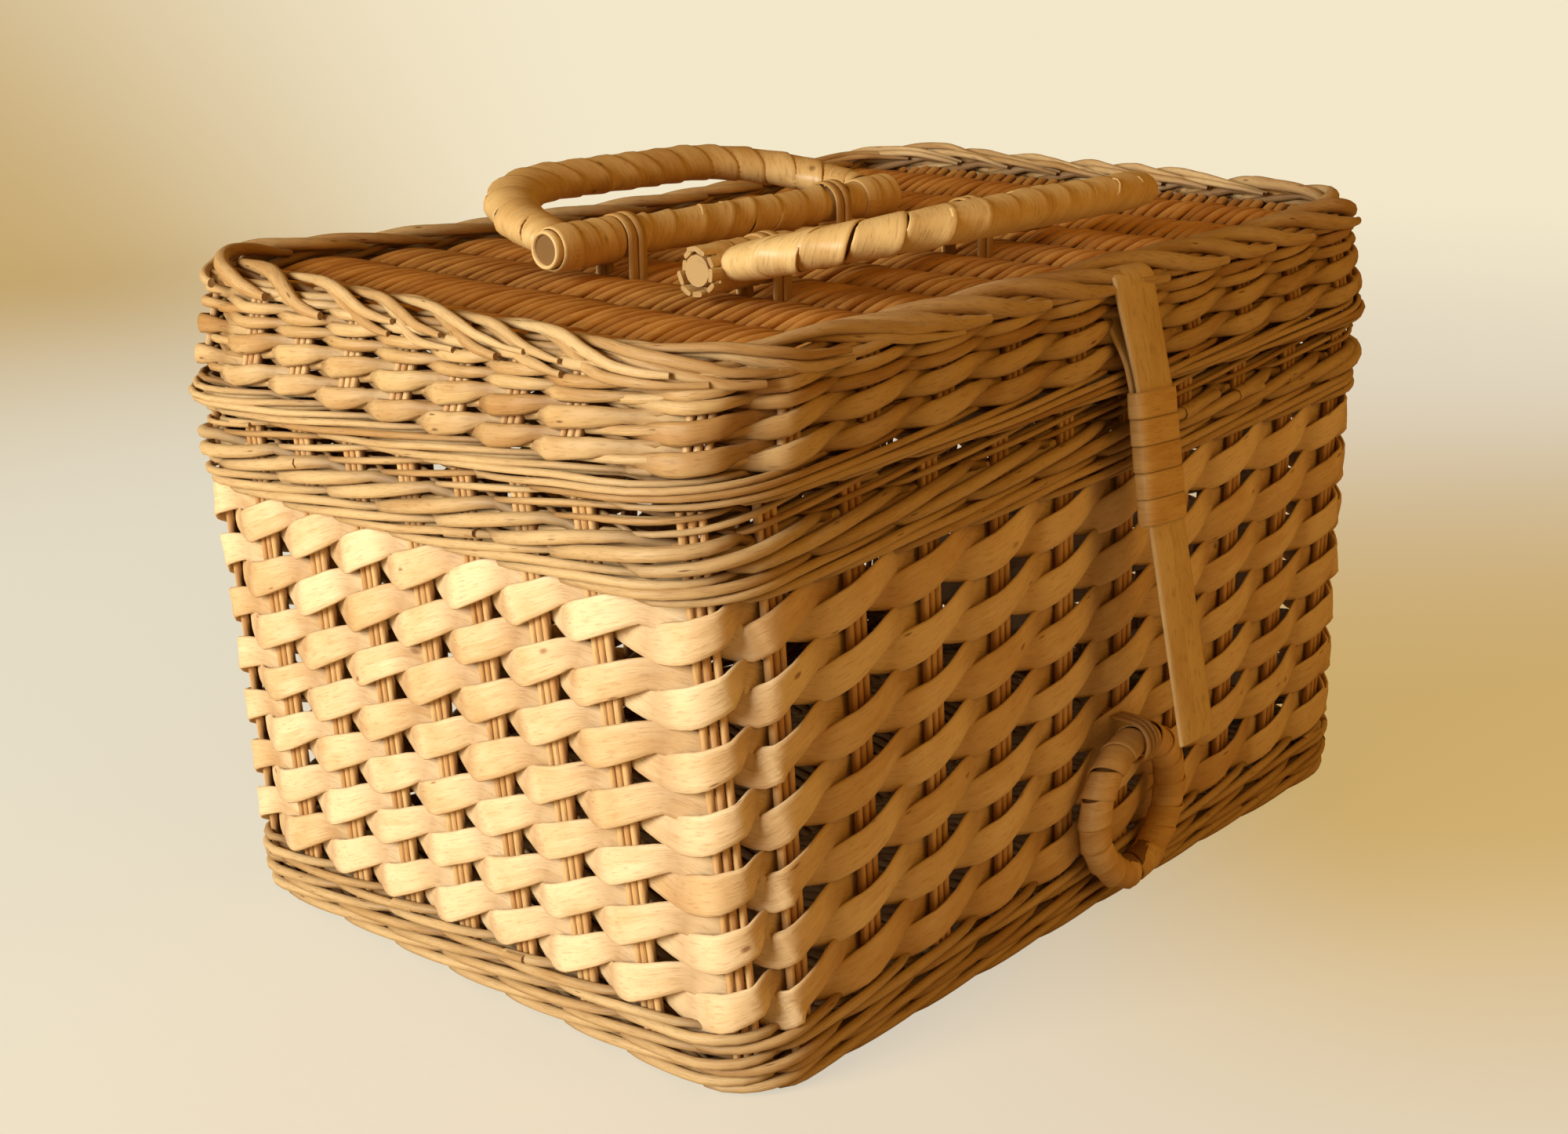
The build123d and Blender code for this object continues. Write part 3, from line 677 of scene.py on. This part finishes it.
# Upper waling
# Two rows of rods close the bands at the top, a thin one and a fatter one, with more rods behind them. The
# work is uneven here, and cut tips stand out of it.
upper = Canes(51)
waling(upper, body_level, 148.6, 157.6, rows=1, rod=3.0, front=0.0, back=6.7, over=3, rough_work=0.6)
waling(upper, body_level, 157.0, 167.4, rows=1, rod=4.5, front=-1.0, back=6.7, rough_work=0.6, offset=1)
waling(upper, body_level, 150.0, 167.0, rows=2, rod=3.2, front=5.2, back=7.8, rough_work=0.2, offset=1)
upper.piece("upper_waling_rods", rod_finish, "basket", "border_rod", "upper_waling")

# Body rim
# Looser, thinner rods run round the stakes' ends under the lid, with dark gaps between them.
rim = Canes(61)
waling(rim, body_level, 167.2, 175.4, rows=1, rod=2.1, front=1.4, back=6.8, rough_work=0.5)
waling(rim, body_level, 166.0, 174.4, rows=1, rod=2.6, front=6.0, back=8.6, rough_work=0.2, offset=2)
rim.piece("body_rim_rods", rod_finish, "basket", "border_rod", "body_rim")

# Hinge
# A straight border rod of the lid turns in three loops of flat peel that go through the body's rim.
peel_finish = cane_finish(
    "glossy_peel",
    shade(219, 184, 124),
    shade(192, 146, 82),
    shade(98, 58, 24),
    streaks=16.0,
    nicks=0.6,
    roughness=0.34,
    fuzz=0.22,
)
core_finish = cane_finish(
    "cane_core",
    shade(120, 84, 38),
    shade(100, 68, 32),
    shade(60, 36, 18),
    streaks=6.0,
    nicks=0.8,
    roughness=0.6,
)
hinge_y = 124.0
hinge_z = 178.24
hinge_half_length = 137.9
hinge_rod = 4.9
hinge_loop_pitch = 67.0


def level_line(x, y, z):
    """Points along X, all at one Y and one Z."""
    return np.stack([x, np.full_like(x, y), np.full_like(x, z)], axis=1)


hinge = Canes(71)
line = level_line(np.linspace(-hinge_half_length, hinge_half_length, 90), hinge_y, hinge_z)
hinge.add(line, (0, 1, 0), hinge_rod, hinge_rod, cut=section(12))
hinge.piece("hinge_border_rod", core_finish, "lid", "cane_core", "hinge_rod")


def loop_line(start, end, radius, count=14):
    """A closed line in the YZ plane that goes round two centres."""
    start, end = np.array(start), np.array(end)
    heading = math.atan2(end[1] - start[1], end[0] - start[0])
    points = []
    for centre, first in ((end, heading - math.pi / 2), (start, heading + math.pi / 2)):
        for turn in np.linspace(first, first + math.pi, count):
            points.append((centre[0] + radius * math.cos(turn), centre[1] + radius * math.sin(turn), turn))
    return np.array(points)


def lashing(canes, x, start, end, radius, width, thick, turns, pitch, cut):
    """Turns of cane round two centres, side by side."""
    for turn in range(turns):
        found = loop_line(start, end, radius + 0.2 * turn)
        place = x + (turn - (turns - 1) / 2) * pitch
        line = np.stack([np.full(len(found), place), found[:, 0], found[:, 1]], axis=1)
        line[:, 0] += wander(canes.rng, np.arange(len(found)), 14, 0.15)
        outward = np.stack([np.zeros(len(found)), np.cos(found[:, 2]), np.sin(found[:, 2])], axis=1)
        # The ties' darkening is their own darker tone, set through the value that paints shade on other
        # lengths.
        canes.add(line, outward, width, thick, cut=cut, tone=0.9, crease=0.35, closed=True)


loops = Canes(72)
loop_foot = (118.5, hinge_z - 16.5)
loop_turns = dict(radius=3.65, width=2.9, thick=1.5, turns=2, pitch=3.05, cut=section(8, 0.6, 0.8))
for x in (-hinge_loop_pitch, 0.0, hinge_loop_pitch):
    lashing(loops, x, (hinge_y, hinge_z), loop_foot, **loop_turns)
loops.piece("hinge_peel_loops", peel_finish, "basket", "handle_peel", "hinge_loops")

# Lid's lower border
# The lid's lower edge is twisted from five thin rods at a time, over four stakes and behind one. A row of fat
# rod pairs lies above them.
lid_low = 175.74
lid_top = 215.74
lid_low_half_length = 192.0
lid_low_half_depth = 124.0
lid_top_half_length = 179.0
lid_top_half_depth = 119.0
warp_start = lid_low + 6


def lid_level(z):
    """Half length, half depth and corner radius of the lid's outside at a height."""
    t = (z - lid_low) / (lid_top - lid_low)
    half_length = lid_low_half_length - t * (lid_low_half_length - lid_top_half_length)
    half_depth = lid_low_half_depth - t * (lid_low_half_depth - lid_top_half_depth)
    return half_length, half_depth, 40.0 - t * 6


def lid_warp(line):
    """The lid's upper corners have lifted with age, most at the back right and least at the near left."""
    x, y, z = line[:, 0], line[:, 1], line[:, 2]
    depth = np.clip((y + lid_top_half_depth) / (2 * lid_top_half_depth), 0, 1)
    right = np.clip(x / lid_top_half_length, 0, 1) ** 2.2 * (5 + 5 * depth)
    left = np.clip(-x / lid_top_half_length, 0, 1) ** 2.2 * (9 * depth**2 - 2)
    height = np.clip((z - warp_start) / (lid_top - warp_start), 0, 1)
    return np.stack([x, y, z + (right + left) * height], axis=1)


lid_rod_finish = cane_finish(
    "lid_rods", shade(196, 163, 112), shade(164, 121, 69), shade(84, 44, 14), streaks=6.0, nicks=0.8
)
fat_rods = dict(wide=6.6, waist=4.0, thick=3.0, swing=2.9, rise=2.3, cut=section(10, 0.85), rough_work=0.3)
lid_border = Canes(81, lid_warp)
waling(lid_border, lid_level, 175.9, 184.9, rows=1, rod=2.3, front=0.9, back=9.4, over=4, rough_work=0.5)
twined(lid_border, lid_level, 184.4, 192.6, rows=1, **fat_rods)
waling(lid_border, lid_level, 177.0, 191.0, rows=2, rod=3.0, front=5.0, back=9.4, rough_work=0.15, offset=1)
lid_border.piece("lid_border_rods", rod_finish, "lid", "border_rod", "lid_lower_border")

# Lid wall
# Rods are twisted round the lid's stakes two at a time, fat ones below and thin ones above. Each is a long
# lens that tapers into a dark gap. No stake stands behind the strap.
strap_number = 5
lid_canes = Canes(91, lid_warp)
stake_canes(lid_canes, lid_level, 190.0, 210.0, [n for n in range(stake_total) if n != strap_number])
lid_canes.piece("lid_stake_canes", stake_finish, "lid", "stake_cane", "lid_stakes")
lid_wall = Canes(92, lid_warp)
twined(lid_wall, lid_level, 192.6, 200.8, rows=1, **{**fat_rods, "wide": 6.4})
thin_rods = dict(wide=3.8, waist=3.1, thick=2.8, swing=2.8, rise=1.1, cut=section(8, 0.9), rough_work=0.3)
twined(lid_wall, lid_level, 200.8, 208.6, rows=2, **thin_rods)
waling(lid_wall, lid_level, 191.0, 207.5, rows=2, rod=3.2, front=5.2, back=7.8, rough_work=0.2)
lid_wall.piece("lid_wall_rods", lid_rod_finish, "lid", "lid_rod", "lid_wall_weave")

# Lid's top border
# The stakes' ends are bent down to the right, carried along on the panel, crossed over the edge and cut off
# on the outside, where their blunt tips stand proud. On the ends they are thinner and lie in pairs.
leaf_inset = 9.6
leaf_level = 213.4


def smooth(t):
    """0 at 0 and below, 1 at 1 and above, smooth between them."""
    t = np.clip(t, 0, 1)
    return t * t * (3 - 2 * t)


top_border = Canes(101, lid_warp)
for number in range(stake_total):
    rng = top_border.rng
    on_end = number % 19 > 10
    first = number - 0.2 + rng.uniform(-0.12, 0.12)
    last = first + rng.uniform(2.5, 2.8) + on_end * rng.uniform(0.2, 0.9)
    height = rng.uniform(-0.6, 0.6)
    proud = rng.uniform(0.0, 1.5)
    for pair in (-1, 1) if on_end else (0,):
        s = np.linspace(first, last + rng.uniform(-0.25, 0.25) * abs(pair), 40)
        t = (s - first) / (last - first)
        crossed = smooth((t - 0.15) / 0.7)
        turned = (1 - crossed) * math.pi / 2
        apart = pair * (1.5 + wander(rng, s, 1.7, 0.4))
        inset = leaf_inset - crossed * 9.8 - apart * np.sin(turned) + wander(rng, s, 3.3, 0.3)
        inset = inset - np.clip(t * 5 - 4, 0, 1) * proud
        z = leaf_level + 2.6 * np.sin(math.pi * np.clip(t / 0.8, 0, 1)) - smooth((t - 0.45) / 0.55) * 3.4
        z = z + height + apart * np.cos(turned) + wander(rng, s, 3.1, 0.4)
        line, outward = wall_run(lid_level, s, z, inset)
        facing = outward * np.cos(turned)[:, None] + np.array([0, 0, 1]) * np.sin(turned)[:, None]
        size = rng.uniform(5.2, 6.0) - 2.0 * abs(pair)
        size = size * (0.5 + 0.5 * np.sin(math.pi * np.clip(t * 1.05, 0, 1) ** 1.3) ** 0.6)
        # Painted shade: each end is darker where it comes up out of the weave.
        top_border.add(line, facing, size, size * 0.8, cut=section(10), crease=np.clip(0.7 - t * 3, 0, 1))
edge_rods = {**thin_rods, "wide": 3.2, "waist": 2.6, "swing": 2.3, "rise": 0.8}
twined(top_border, lid_level, 208.4, 212.4, rows=1, **edge_rods)
waling(top_border, lid_level, 208.0, 213.4, rows=1, rod=3.4, front=3.8, back=8.8, rough_work=0.2)
top_border.piece("lid_top_rods", rod_finish, "lid", "border_rod", "lid_top_border")

# Lid panel
# Nine ribs run from front to back under the flat top. Rods are twisted over and under them two at a time, row
# on row, packed so close that each rib shows as a ridge of long slanted strokes.
panel_finish = cane_finish(
    "panel_rods", shade(206, 150, 78), shade(176, 116, 50), shade(84, 44, 12), streaks=5.0, nicks=0.5
)
panel_level = 208.24
rib_count = 9
rib_pitch = 34.1
rib_middle = 8.5
first_rib = rib_middle - rib_pitch * (rib_count - 1) / 2
rib_half_length = 104.5
ribs = Canes(111, lid_warp)
for i in range(rib_count):
    y = np.linspace(-rib_half_length, rib_half_length, 40)
    x = first_rib + rib_pitch * i + wander(ribs.rng, y, 120, 0.4)
    ribs.add(np.stack([x, y, np.full_like(y, panel_level)], axis=1), (0, 0, 1), 3.6, 3.0)
ribs.piece("panel_ribs", base_finish, "lid", "base_cane", "lid_ribs")
panel = Canes(112, lid_warp)
panel_half_depth = 109.4
panel_half_length = 169.4
panel_corner = 24.0
panel_rows = 44
panel_pitch = 2 * panel_half_depth / panel_rows
for i in range(panel_rows):
    y0 = -panel_half_depth + (i + 0.5) * panel_pitch
    corner_cut = max(0.0, abs(y0) - (panel_half_depth - panel_corner))
    reach = panel_half_length - panel_corner + math.sqrt(max(0.0, panel_corner**2 - corner_cut**2))
    x = np.linspace(-reach, reach, int(reach * 2 / rib_pitch * 13))
    drift = wander(panel.rng, x, 130, 0.8)
    shift = panel.rng.uniform(-1.5, 1.5)
    for strand in (0, 1):
        turn = math.pi * ((x - first_rib + shift) / rib_pitch + strand)
        lift = np.cos(turn)
        y = y0 + np.sin(turn) * 1.7 * np.where(lift > 0, 1, 0.8) + drift + wander(panel.rng, x, 61, 0.4)
        z = panel_level + np.sign(lift) * np.abs(lift) ** 0.75 * 2.45
        flat = np.abs(lift)
        wide = panel.rng.uniform(4.3, 5.2) * (0.66 + 0.34 * flat)
        line = np.stack([x, y, z], axis=1)
        # Painted shade: the rods go darker where they dive under the ribs.
        panel.add(line, (0, 0, 1), wide, 2.9, cut=section(8), crease=np.clip(0.62 - flat * 0.9, 0, 1))
panel.piece("panel_weave", panel_finish, "lid", "lid_rod", "lid_panel_weave")

# Handles
# Each handle is a flattened bent cane bound in glossy peel, on a thinner bound bar that is lashed to the
# lid. Extra turns bind the bow's feet to the bar's ends. The back bar's left end shows the dark core, and the
# front one's peel ends there in a bundle of pale cut strips.
panel_top = 211.24
lean = math.radians(13)
bar_wrap_radius = 6.3
bar_overhang = 8.3
panel_under = 205.24
bar_turns = dict(radius=7.6, width=3.9, thick=1.2, turns=2, pitch=4.0, cut=section(8, 0.5, 0.7))


def bow_line(left, right, y, z, reach, side):
    """The bow's middle line, from its left foot round to its right foot."""
    corner = 45.0
    step = 1.5
    foot = bar_wrap_radius + 0.1
    bend = min(corner, reach - foot - 0.1)
    points = []
    for w in np.arange(foot, reach - bend, step):
        points.append((left, w))
    for a in np.linspace(0, math.pi / 2, 26):
        points.append((left + bend - bend * math.cos(a), reach - bend + bend * math.sin(a)))
    for x in np.arange(left + bend + step, right - bend, step):
        points.append((x, reach))
    for a in np.linspace(math.pi / 2, 0, 26):
        points.append((right - bend + bend * math.cos(a), reach - bend + bend * math.sin(a)))
    for w in np.arange(reach - bend - step, foot, -step):
        points.append((right, w))
    flat = np.array(points)
    return np.stack(
        [flat[:, 0], y + side * flat[:, 1] * math.cos(lean), z + flat[:, 1] * math.sin(lean)], axis=1
    )


def run_along(points):
    """How far along a line each of its points is."""
    steps = np.linalg.norm(np.diff(points, axis=0), axis=1)
    return np.concatenate([[0], np.cumsum(steps)])


def bind(canes, core, wide, high, pitch, width, thick, up=(0, 0, 1), per_turn=22, loose=0.12, hand=1):
    """Flat peel wound round a core that is so wide and so high to each side, each turn lapping the last."""
    run = run_along(core)
    turns = (run[-1] - width) / pitch + 2
    phi = np.linspace(0, turns * 2 * math.pi, int(turns * per_turn))
    along = (phi / (2 * math.pi) - 1) * pitch + width / 2 + wander(canes.rng, phi, 9.0, pitch * loose)
    along = np.clip(along, width / 2, run[-1] - width / 2)
    middle = at_runs(along, run, core)
    heading = unit(np.gradient(core, axis=0))
    tangent = unit(at_runs(along, run, heading))
    first = unit(np.cross(tangent, np.broadcast_to(np.array(up, float), tangent.shape)))
    second = np.cross(tangent, first)
    c, n = np.cos(hand * phi)[:, None], np.sin(hand * phi)[:, None]
    radial = unit(first * c * high + second * n * wide)
    tipped = radial - tangent * (0.55 * thick / pitch)
    tone = canes.rng.uniform(0.2, 0.8) + wander(canes.rng, phi, 17.0, 0.25)
    canes.add(
        middle + first * c * wide + second * n * high,
        tipped,
        width,
        thick,
        cut=section(12, 0.45, 0.6),
        tone=np.clip(tone, 0, 1),
    )


for name, left, right, y, z, reach, side, bow_seed in (
    ("back", -99.0, 50.0, 18.0, panel_top + 11.5, 55.0, 1, 121),
    ("front", -94.0, 62.0, -44.0, panel_top + 10.6, 62.0, -1, 131),
):
    body = f"handle_{name}"
    for core_node in (f"{body}_bow", f"{body}_bar"):
        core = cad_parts[core_node]
        core.data.materials.clear()
        core.data.materials.append(core_finish)
    bow = Canes(bow_seed)
    flat_up = (0, -side * math.sin(lean), math.cos(lean))
    bow_core = bow_line(left, right, y, z, reach, side)
    bind(bow, bow_core, wide=8.3, high=5.3, pitch=12.8, width=14.4, thick=1.2, up=flat_up, hand=side)
    bow.piece(f"{name}_bow_peel", peel_finish, body, "handle_peel", f"{body}_bow_wrap")
    bar = Canes(bow_seed + 1)
    bar_core = level_line(np.linspace(left - bar_overhang, right + bar_overhang, 120), y, z)
    bind(bar, bar_core, wide=5.75, high=5.75, pitch=12.5, width=13.8, thick=1.0, loose=0.2, hand=-side)
    for ends in (bar_core[:20], bar_core[-14:]):
        bind(bar, ends, wide=6.9, high=6.9, pitch=7.4, width=8.0, thick=1.1, loose=0.1, hand=side)
    if name == "front":
        t = np.linspace(0, 1, 8)
        stub = bar_core[0] + np.array([3.0, 0, 0]) - np.array([6.4, 0, 0]) * t[:, None]
        bar.add(stub, (0, 0, 1), 9.6, 9.6, cut=section(14), tone=0.0)
        strip_count = 10
        for i in range(strip_count):
            a = (i + bar.rng.uniform(0, 0.4)) * 2 * math.pi / strip_count
            out = np.array([0, math.cos(a), math.sin(a)])
            strip = bar_core[0] + out * (bar_wrap_radius + t * bar.rng.uniform(-0.5, 0.5))[:, None]
            strip[:, 0] = left - 3 - t * bar.rng.uniform(6.2, 10.5)
            strip_wide = bar.rng.uniform(3.4, 4.8)
            bar.add(strip, out, strip_wide, 1.9, cut=section(8, 0.5, 0.7), tone=bar.rng.uniform(0, 0.4))
    else:
        a = np.linspace(0, 2 * math.pi, 28, endpoint=False)
        ring = np.stack([np.full_like(a, left - 9.2), y + 5.5 * np.cos(a), z + 5.5 * np.sin(a)], axis=1)
        bar.add(ring, ring - ring.mean(axis=0), 3.6, 1.3, cut=section(8, 0.5), tone=0.0, closed=True)
    bar.piece(f"{name}_bar_peel", peel_finish, body, "handle_peel", f"{body}_bar_wrap")
    ties = Canes(bow_seed + 2)
    for end in (left + 22, right - 22):
        space = first_rib + rib_pitch * (round((end - first_rib) / rib_pitch - 0.5) + 0.5)
        lashing(ties, space, (y, z), (y, panel_under), **bar_turns)
    ties.piece(f"{name}_bar_ties", peel_finish, "lid", "handle_peel", f"{body}_lashings")

# Clasp strap
# One flat split cane is folded double over a rod of the lid's top border, bound together below the lid with
# five turns of peel, and its front half hangs on as a tongue.
strap_finish = cane_finish(
    "strap_cane",
    shade(220, 192, 140),
    shade(196, 160, 104),
    shade(92, 54, 24),
    streaks=12.0,
    nicks=0.6,
    roughness=0.42,
    fuzz=0.3,
)
strap_x = 10.0
strap_y = -115.8
strap_z = 210.74
strap_marks = np.array([(-125.6, 188.0), (-128.4, 178.0), (-134.6, 136.0), (-149.0, 66.0)])
strap_rod = 4.3
strap_rod_reach = 16.5
rod = Canes(141)
line = level_line(np.linspace(strap_x - strap_rod_reach, strap_x + strap_rod_reach, 16), strap_y, strap_z)
rod.add(line, (0, -1, 0), strap_rod, strap_rod, cut=section(12))
rod.piece("strap_border_rod", core_finish, "lid", "cane_core", "strap_rod")


def offset_line(points, distance):
    """A flat line moved sideways by a distance, square to it at each point."""
    heading = unit(np.gradient(points, axis=0))
    return points + np.stack([-heading[:, 1], heading[:, 0]], axis=1) * distance


def rounded(points, step, passes):
    """The same line with points close together and its bends eased."""
    run = run_along(points)
    fine = at_runs(np.linspace(0, run[-1], int(run[-1] / step) + 2), run, points)
    for _ in range(passes):
        fine[1:-1] = (fine[:-2] + 2 * fine[1:-1] + fine[2:]) / 4
    return fine


half_gap = 1.2
strap_front = offset_line(strap_marks, -half_gap)[::-1]
strap_rear = offset_line(strap_marks[:3], half_gap)
fold = 4.05
fold_bulge = 1.2
fold_turns = np.radians(np.linspace(195, -22, 22))
fold_out = np.where(np.cos(fold_turns) < 0, fold + fold_bulge, fold)
fold_points = np.stack([strap_y + fold_out * np.cos(fold_turns), strap_z + fold * np.sin(fold_turns)], axis=1)
flat = rounded(np.concatenate([strap_front, fold_points, strap_rear]), step=1.6, passes=2)
heading = unit(np.gradient(flat, axis=0))
strap = Canes(142)
line = np.stack([np.full(len(flat), strap_x), flat[:, 0], flat[:, 1]], axis=1)
outward = np.stack([np.zeros(len(flat)), -heading[:, 1], heading[:, 0]], axis=1)
strap_wide = 19.6 + 2.6 * np.clip((line[:, 2] - 184) / 26, 0, 1)
strap.add(line, outward, strap_wide, 2.15, cut=section(14, 0.5, 0.7), tone=0.5)
strap.piece("folded_strap", strap_finish, "clasp_strap", "strap_cane", "strap_cane")
ties = Canes(143)
binding_count = 5
bound = strap_marks[2] - strap_marks[1]
bound_along = unit(bound)
bound_run = float(np.linalg.norm(bound))
for i in range(binding_count):
    middle = strap_marks[1] + bound_along * bound_run * (i + 0.5) / binding_count
    around = []
    for a in np.linspace(0, 2 * math.pi, 40, endpoint=False):
        c, n = math.cos(a), math.sin(a)
        wide = 10.6 * math.copysign(abs(c) ** 0.35, c)
        deep = 2.95 * math.copysign(abs(n) ** 0.5, n)
        lift = wide * 0.05
        y = middle[0] + bound_along[0] * lift + bound_along[1] * deep
        z = middle[1] + bound_along[1] * lift - bound_along[0] * deep
        around.append((strap_x + wide, y, z))
    around = np.array(around)
    centre = np.array([strap_x, middle[0], middle[1]])
    ties.add(around, around - centre, 8.5, 0.85, cut=section(10, 0.5, 0.6), closed=True)
ties.piece("strap_peel_bindings", peel_finish, "clasp_strap", "handle_peel", "strap_bindings")

# Clasp ring
# A short thick cane is bent round until its ends meet at the bottom, and bound in peel all the way. It hangs
# low on the front wall in a few turns of thin cane.
ring_x = 9.0
ring_y = -127.797
ring_z = 38.0
ring_radius = 22.3
ring_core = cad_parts["ring_core"]
ring_core.data.materials.clear()
ring_core.data.materials.append(core_finish)
ring = Canes(151)
turn = np.radians(np.linspace(-88, 268, 160))
ring_reach = ring_radius + 1.6 * np.clip(-np.sin(turn) * 4 - 3, 0, 1)
ring_line = np.stack(
    [ring_x + ring_reach * np.cos(turn), np.full_like(turn, ring_y), ring_z + ring_reach * np.sin(turn)],
    axis=1,
)
bind(ring, ring_line, wide=4.75, high=4.75, pitch=8.4, width=9.6, thick=1.1, up=(0, 1, 0), per_turn=18)
ring.piece("ring_peel", peel_finish, "clasp_ring", "handle_peel", "ring_wrap")
ring_tie = Canes(152)
ring_top = (ring_y, ring_z + ring_radius)
ring_back = (ring_y + 15, ring_z + ring_radius)
ring_turns = dict(radius=6.75, width=2.0, thick=1.5, turns=3, pitch=2.0, cut=section(8, 0.8))
lashing(ring_tie, ring_x, ring_top, ring_back, **ring_turns)
ring_tie.piece("ring_ties", peel_finish, "basket", "handle_peel", "ring_lashing")
